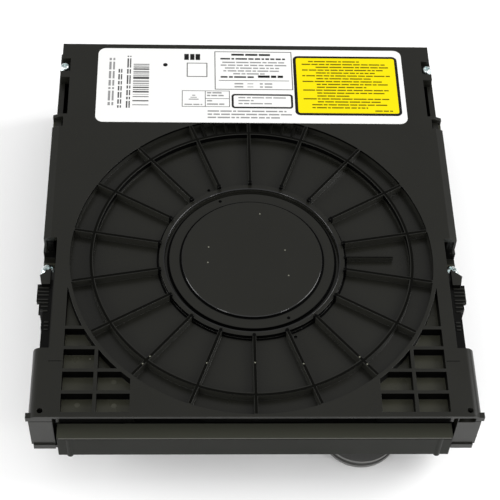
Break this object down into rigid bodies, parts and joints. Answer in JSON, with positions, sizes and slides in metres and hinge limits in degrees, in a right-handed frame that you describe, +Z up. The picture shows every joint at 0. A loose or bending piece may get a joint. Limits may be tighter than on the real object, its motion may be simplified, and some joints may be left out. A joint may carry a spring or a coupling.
{
  "type": "internal blu-ray drive",
  "caption": "Bare internal tray-loading blu-ray drive: black moulded cover with round ribbed recess, label, sliding disc tray and full loading and reading mechanism.",
  "frame": {"origin": "on the underside, straight below the axis of the disc spindle", "axes": "+Z up through the cover, +Y to the rear with the socket, so the tray slides out along -Y; +X to the right seen from the front"},
  "size_m": [0.1506, 0.1705, 0.0402],
  "materials": {
    "black_plastic": "satin",
    "tray_plastic": "satin",
    "gear_plastic": "satin",
    "white_plastic": "satin",
    "sheet_steel": "satin",
    "bright_steel": "polished",
    "zinc_screw": "satin",
    "label_film": "matt",
    "board_laminate": "gloss",
    "chip_plastic": "matt",
    "flex_film": "satin",
    "belt_rubber": "matt",
    "bush_rubber": "matt",
    "pad_rubber": "matt",
    "magnet": "satin",
    "zinc_sled": "matt",
    "lens_glass": "polished"
  },
  "bodies": {
    "chassis": {"top_cover": "black_plastic", "top_label": "label_film", "main_chassis": "black_plastic", "loading_motor": "bright_steel", "drive_belt": "belt_rubber", "clamper_holder": "sheet_steel", "bottom_plate": "sheet_steel", "circuit_board": "board_laminate", "controller_chip": "chip_plastic", "motor_driver_chip": "chip_plastic", "memory_chips": "chip_plastic", "data_power_socket": "chip_plastic", "socket_tongues": "chip_plastic", "flex_socket": "white_plastic", "pickup_flex": "flex_film", "cover_screws": "zinc_screw", "bottom_screws": "zinc_screw", "board_screws": "zinc_screw", "motor_screws": "zinc_screw", "gear_clips": "white_plastic"},
    "tray": {"tray": "tray_plastic"},
    "drive_gear": {"drive_gear": "white_plastic"},
    "pulley_gear": {"pulley_gear": "gear_plastic"},
    "motor_rotor": {"motor_shaft": "bright_steel", "motor_pulley": "white_plastic"},
    "cam_slider": {"cam_slider": "white_plastic"},
    "traverse": {"traverse_frame": "black_plastic", "mechanism_base": "sheet_steel", "guide_rod_left": "bright_steel", "guide_rod_right": "bright_steel", "damper_bushes": "bush_rubber", "damper_screws": "zinc_screw", "spindle_motor": "sheet_steel", "feed_motor": "sheet_steel"},
    "turntable": {"turntable": "black_plastic", "turntable_pad": "pad_rubber", "hub_magnet": "magnet"},
    "pickup": {"optical_pickup": "zinc_sled", "feed_nut": "white_plastic", "lens_cover": "black_plastic", "lens_holder": "black_plastic", "objective_lens": "lens_glass"},
    "lead_screw": {"lead_screw": "bright_steel"},
    "clamper": {"disc_clamper": "black_plastic", "clamper_yoke": "sheet_steel"}
  },
  "joints": [
    {"name": "tray_slide", "type": "slide", "parent": "chassis", "child": "tray", "axis": [0, -1, 0], "range_m": [0, 0.13]},
    {"name": "drive_gear_spin", "type": "hinge", "parent": "chassis", "child": "drive_gear", "pos_m": [0.0508, -0.04165, 0.02], "axis": [0, 0, 1], "range_deg": [-1242, 0]},
    {"name": "pulley_gear_spin", "type": "hinge", "parent": "chassis", "child": "pulley_gear", "pos_m": [0.0379, -0.0512, 0.01], "axis": [0, 0, 1], "range_deg": [0, 2897]},
    {"name": "motor_spin", "type": "hinge", "parent": "chassis", "child": "motor_rotor", "pos_m": [0.01, -0.0486, 0.01], "axis": [0, 0, 1], "range_deg": [0, 10600]},
    {"name": "cam_slide", "type": "slide", "parent": "chassis", "child": "cam_slider", "axis": [-1, 0, 0], "range_m": [0, 0.02]},
    {"name": "traverse_lift", "type": "hinge", "parent": "chassis", "child": "traverse", "pos_m": [0, 0.088, 0.016], "axis": [1, 0, 0], "range_deg": [0, 3.5], "deforming": ["pickup_flex"]},
    {"name": "spindle_spin", "type": "hinge", "parent": "traverse", "child": "turntable", "pos_m": [0, 0, 0.025], "axis": [0, 0, 1], "continuous": true},
    {"name": "pickup_slide", "type": "slide", "parent": "traverse", "child": "pickup", "axis": [0, 1, 0], "range_m": [0, 0.034]},
    {"name": "lead_screw_spin", "type": "hinge", "parent": "traverse", "child": "lead_screw", "pos_m": [0.0318, 0.04, 0.0224], "axis": [0, 1, 0], "range_deg": [-4081, 0]},
    {"name": "clamper_spin", "type": "hinge", "parent": "chassis", "child": "clamper", "pos_m": [0, 0, 0.033], "axis": [0, 0, 1], "continuous": true}
  ],
  "couplings": [
    {"joint": "drive_gear_spin", "follows": "tray_slide", "rad_per_m": -166.67},
    {"joint": "pulley_gear_spin", "follows": "tray_slide", "rad_per_m": 388.89},
    {"joint": "motor_spin", "follows": "tray_slide", "rad_per_m": 1421.7},
    {"joint": "traverse_lift", "follows": "cam_slide", "rad_per_m": 3.0543},
    {"joint": "lead_screw_spin", "follows": "pickup_slide", "rad_per_m": -2094.4},
    {"joint": "clamper_spin", "follows": "spindle_spin", "ratio": 1}
  ]
}
